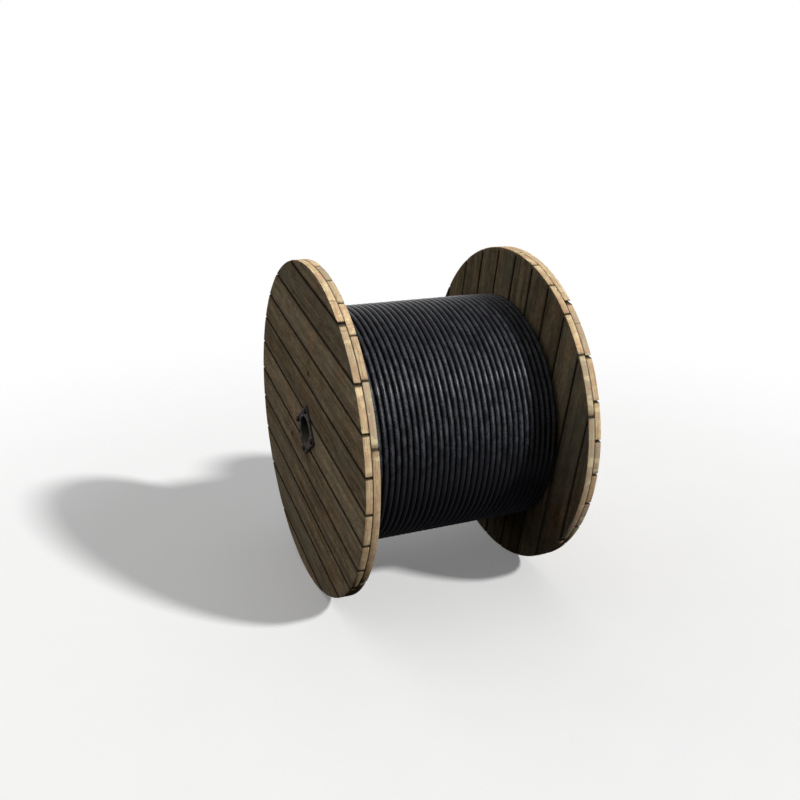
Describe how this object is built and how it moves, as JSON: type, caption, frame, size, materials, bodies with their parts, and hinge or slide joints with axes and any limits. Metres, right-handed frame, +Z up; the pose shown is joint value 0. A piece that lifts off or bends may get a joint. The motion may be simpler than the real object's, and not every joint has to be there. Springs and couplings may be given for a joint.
{
  "type": "cable drum",
  "caption": "Wooden cable drum with round flanges of crossed boards, steel hub plates and an arbor bore, wound with black cable; it stands on its rims.",
  "frame": {"origin": "on the floor under the drum's axis, midway between the tips of the tie bolts' heads and threads", "axes": "+X along the drum's axis from the flange with the bolt heads to the flange with the nuts, +Z up, +Y level across the axis"},
  "size_m": [0.9032, 1.2494, 1.2493],
  "materials": {
    "flange_wood": "rough-sawn weathered softwood boards",
    "barrel_wood": "rough-sawn softwood staves and discs",
    "hub_steel": "dull weathered steel plate and tube",
    "bolt_steel": "dark oiled steel fasteners",
    "cable_sheath": "smooth black extruded sheath, satin"
  },
  "bodies": {
    "root": {"left_outer_board_lower_5": "flange_wood", "left_outer_board_lower_4": "flange_wood", "left_outer_board_lower_3": "flange_wood", "left_outer_board_lower_2": "flange_wood", "left_outer_board_lower_1": "flange_wood", "left_outer_board_centre": "flange_wood", "left_outer_board_upper_1": "flange_wood", "left_outer_board_upper_2": "flange_wood", "left_outer_board_upper_3": "flange_wood", "left_outer_board_upper_4": "flange_wood", "left_outer_board_upper_5": "flange_wood", "left_inner_board_back_5": "flange_wood", "left_inner_board_back_4": "flange_wood", "left_inner_board_back_3": "flange_wood", "left_inner_board_back_2": "flange_wood", "left_inner_board_back_1": "flange_wood", "left_inner_board_centre": "flange_wood", "left_inner_board_front_1": "flange_wood", "left_inner_board_front_2": "flange_wood", "left_inner_board_front_3": "flange_wood", "left_inner_board_front_4": "flange_wood", "left_inner_board_front_5": "flange_wood", "right_outer_board_lower_5": "flange_wood", "right_outer_board_lower_4": "flange_wood", "right_outer_board_lower_3": "flange_wood", "right_outer_board_lower_2": "flange_wood", "right_outer_board_lower_1": "flange_wood", "right_outer_board_centre": "flange_wood", "right_outer_board_upper_1": "flange_wood", "right_outer_board_upper_2": "flange_wood", "right_outer_board_upper_3": "flange_wood", "right_outer_board_upper_4": "flange_wood", "right_outer_board_upper_5": "flange_wood", "right_inner_board_back_5": "flange_wood", "right_inner_board_back_4": "flange_wood", "right_inner_board_back_3": "flange_wood", "right_inner_board_back_2": "flange_wood", "right_inner_board_back_1": "flange_wood", "right_inner_board_centre": "flange_wood", "right_inner_board_front_1": "flange_wood", "right_inner_board_front_2": "flange_wood", "right_inner_board_front_3": "flange_wood", "right_inner_board_front_4": "flange_wood", "right_inner_board_front_5": "flange_wood", "barrel_staves": "barrel_wood", "left_barrel_disc": "barrel_wood", "right_barrel_disc": "barrel_wood", "arbor_tube": "hub_steel", "left_hub_plate": "hub_steel", "right_hub_plate": "hub_steel", "tie_bolt_1": "bolt_steel", "tie_bolt_2": "bolt_steel", "tie_bolt_3": "bolt_steel", "tie_bolt_4": "bolt_steel", "tie_nut_1": "bolt_steel", "tie_nut_2": "bolt_steel", "tie_nut_3": "bolt_steel", "tie_nut_4": "bolt_steel", "cable_core": "cable_sheath", "cable_winding": "cable_sheath"}
  },
  "joints": []
}
